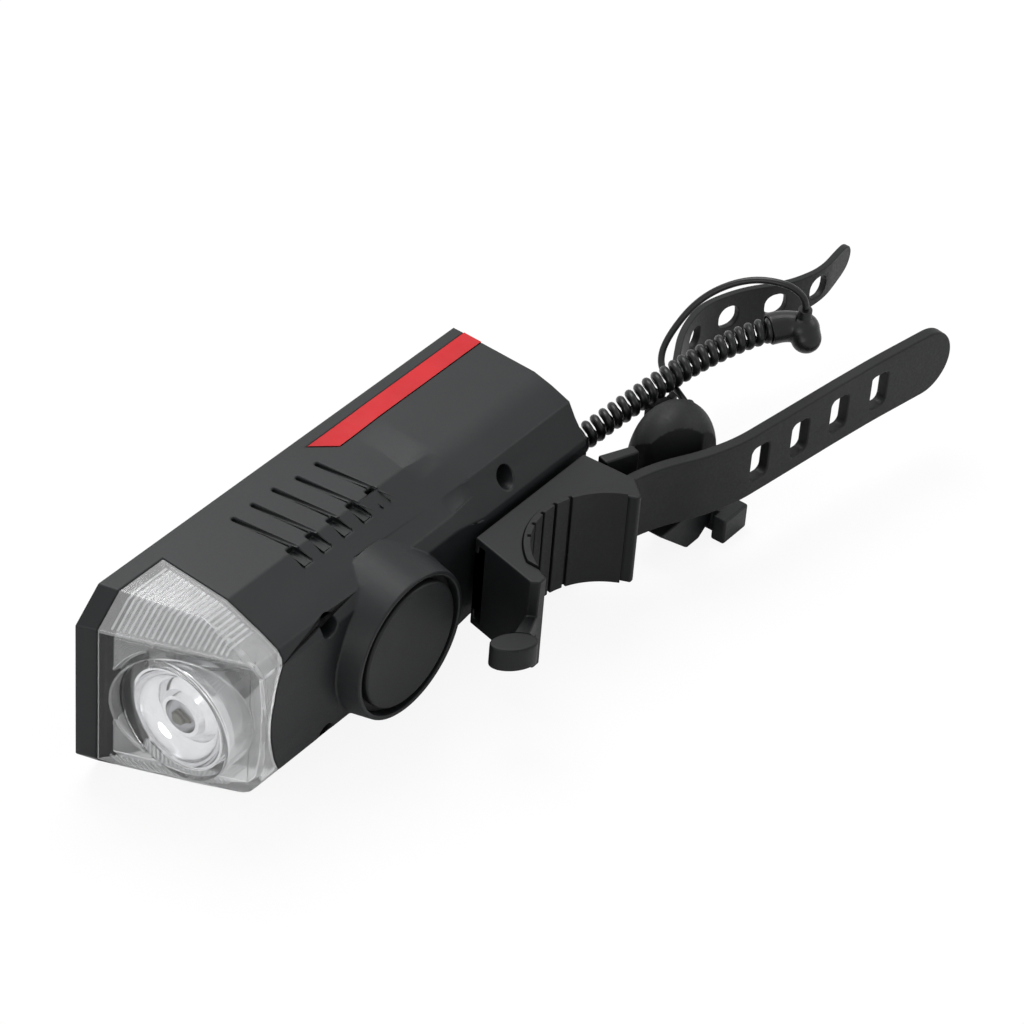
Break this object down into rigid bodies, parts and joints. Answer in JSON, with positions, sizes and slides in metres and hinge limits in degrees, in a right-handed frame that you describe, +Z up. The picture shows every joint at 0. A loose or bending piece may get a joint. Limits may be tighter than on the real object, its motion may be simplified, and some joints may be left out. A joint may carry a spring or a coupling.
{
  "type": "bicycle headlight with horn",
  "caption": "Solar-topped bicycle headlight with horn, clamp bracket on a slide, ladder strap, and a curly cord to a strap-on horn button.",
  "frame": {"origin": "centre of the footprint at the surface that the light lies on, left flank down, the free cord left out", "axes": "beam along -Y, clamp side +X, solar panel side -X, +Z up from the left flank that it lies on"},
  "size_m": [0.065, 0.2114, 0.0474],
  "materials": {
    "black_plastic": "fine moulded texture, low sheen",
    "clear_plastic": "clear moulding with fluted inside",
    "black_rubber": "matt rubber",
    "bright_plating": "bright vacuum plating",
    "emitter": "yellow phosphor under a clear dome",
    "board_metal": "bare aluminium",
    "silver_plastic": "silver grey",
    "cell_blue": "dark blue cells with fine silver lines",
    "panel_glass": "clear cover",
    "red_inlay": "red, satin",
    "battery_wrap": "shrink wrap",
    "board_green": "circuit board",
    "socket_steel": "plated shell",
    "switch_plastic": "switch body",
    "sounder_brass": "sounder disc",
    "screw_steel": "blackened steel",
    "cord_jacket": "smooth jacket"
  },
  "bodies": {
    "light": {"main_housing": "black_plastic", "front_lens": "clear_plastic", "lens_gasket": "black_rubber", "reflector": "bright_plating", "led_emitter": "emitter", "led_board": "board_metal", "heat_sink": "board_metal", "solar_frame": "silver_plastic", "solar_cells": "cell_blue", "solar_glass": "panel_glass", "upper_stripe": "red_inlay", "lower_stripe": "red_inlay", "battery": "battery_wrap", "main_board": "board_green", "usb_socket": "socket_steel", "mode_switch": "switch_plastic", "horn_cover": "black_plastic", "horn_gasket": "black_rubber", "horn_sounder": "sounder_brass", "housing_screws": "screw_steel", "cord_gland": "black_rubber", "curly_cord": "cord_jacket", "cord_boot": "black_rubber", "lead_wire": "cord_jacket", "remote_housing": "black_plastic", "remote_foot": "black_plastic", "remote_switch": "switch_plastic", "remote_strap": "black_rubber"},
    "bracket": {"bracket_body": "black_plastic", "saddle_pad": "black_rubber", "ladder_strap": "black_rubber"},
    "latch": {"release_latch": "black_plastic"},
    "charging_flap": {"usb_flap": "black_rubber"},
    "mode_key": {"mode_button": "black_rubber"},
    "horn_key": {"remote_key": "black_rubber"}
  },
  "joints": [
    {"name": "bracket_slide", "type": "slide", "parent": "light", "child": "bracket", "axis": [0, 1, 0], "range_m": [0, 0.0034]},
    {"name": "latch_lift", "type": "slide", "parent": "bracket", "child": "latch", "axis": [1, 0, 0], "range_m": [0, 0.0018]},
    {"name": "flap_hinge", "type": "hinge", "parent": "light", "child": "charging_flap", "pos_m": [-0.02082, 0.00535, 0.0214], "axis": [0, 0, 1], "range_deg": [0, 110]},
    {"name": "mode_press", "type": "slide", "parent": "light", "child": "mode_key", "axis": [1, 0, 0], "range_m": [0, 0.0006], "stiffness_N_per_m": 1000},
    {"name": "horn_press", "type": "slide", "parent": "light", "child": "horn_key", "axis": [0, -1, 0], "range_m": [0, 0.001], "stiffness_N_per_m": 1000}
  ],
  "couplings": [
    {"joint": "latch_lift", "follows": "bracket_slide", "ratio": 0.52941}
  ]
}
